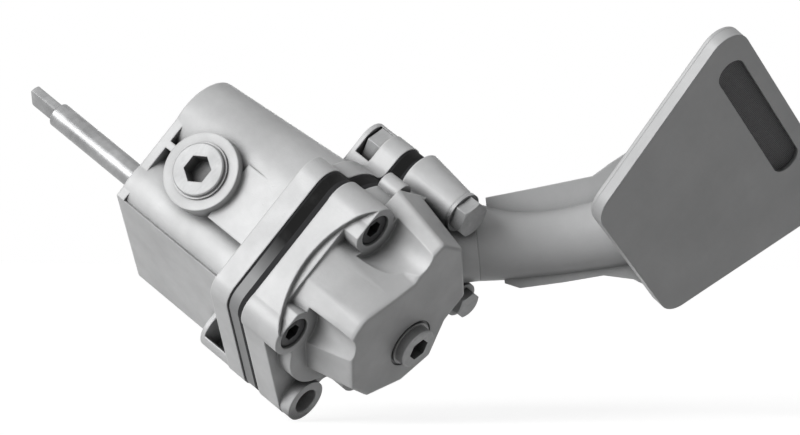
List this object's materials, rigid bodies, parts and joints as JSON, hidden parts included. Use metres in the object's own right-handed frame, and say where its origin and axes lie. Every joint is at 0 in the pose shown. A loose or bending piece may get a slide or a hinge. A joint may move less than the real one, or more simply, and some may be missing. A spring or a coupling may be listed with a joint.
{
  "type": "engine oil pump",
  "caption": "Gear oil pump: long drive shaft, cast body and bolted cover, relief valve, pickup pipe and wide flat strainer.",
  "frame": {"origin": "where the drive shaft's axis leaves the mounting face", "axes": "+Z along the drive shaft to its free end, +Y from the drive shaft to the idler axle, +X to the side with the blanking plug"},
  "size_m": [0.1481, 0.2138, 0.2427],
  "materials": {
    "cast_alloy": "satin die-cast",
    "machined_steel": "ground, oiled",
    "bolt_steel": "zinc plated",
    "dark_steel": "blackened socket screws",
    "gear_steel": "hardened and ground",
    "bush_bronze": "sintered bronze",
    "gasket": "dark joint sheet",
    "washer": "plain soft washer",
    "sheet_steel": "pressed sheet, satin",
    "mesh": "woven wire cloth"
  },
  "bodies": {
    "housing": {"pump_body": "cast_alloy", "pump_cover": "cast_alloy", "body_gasket": "gasket", "spacer_plate": "bolt_steel", "cover_gasket": "gasket", "idler_axle": "machined_steel", "upper_shaft_bush": "bush_bronze", "lower_shaft_bush": "bush_bronze", "side_plug": "bolt_steel", "side_plug_washer": "washer", "relief_spring": "machined_steel", "relief_plug": "bolt_steel", "relief_plug_washer": "washer", "cover_screws": "dark_steel", "deep_screw": "dark_steel", "long_bolt": "bolt_steel", "long_bolt_washer": "bolt_steel", "lug_nuts": "bolt_steel", "far_bolt": "bolt_steel", "dowel_pins": "machined_steel", "outlet_sleeve": "machined_steel", "pickup_near_shell": "sheet_steel", "pickup_far_shell": "sheet_steel", "strainer_pan": "sheet_steel", "strainer_back_plate": "sheet_steel", "strainer_mesh": "mesh"},
    "drive_rotor": {"drive_shaft": "machined_steel", "drive_gear": "gear_steel", "gear_key": "gear_steel"},
    "idler_rotor": {"idler_gear": "gear_steel", "idler_bush": "bush_bronze"},
    "relief_valve": {"relief_plunger": "machined_steel"}
  },
  "joints": [
    {"name": "drive_spin", "type": "hinge", "parent": "housing", "child": "drive_rotor", "pos_m": [0, 0, 0], "axis": [0, 0, 1], "continuous": true},
    {"name": "idler_spin", "type": "hinge", "parent": "housing", "child": "idler_rotor", "pos_m": [0, 0.03025, 0], "axis": [0, 0, 1], "continuous": true},
    {"name": "relief_slide", "type": "slide", "parent": "housing", "child": "relief_valve", "axis": [0, 0, -1], "range_m": [0, 0.005], "stiffness_N_per_m": 3000, "springref_m": -0.004, "deforming": ["relief_spring"]}
  ],
  "couplings": [
    {"joint": "idler_spin", "follows": "drive_spin", "ratio": -1}
  ]
}
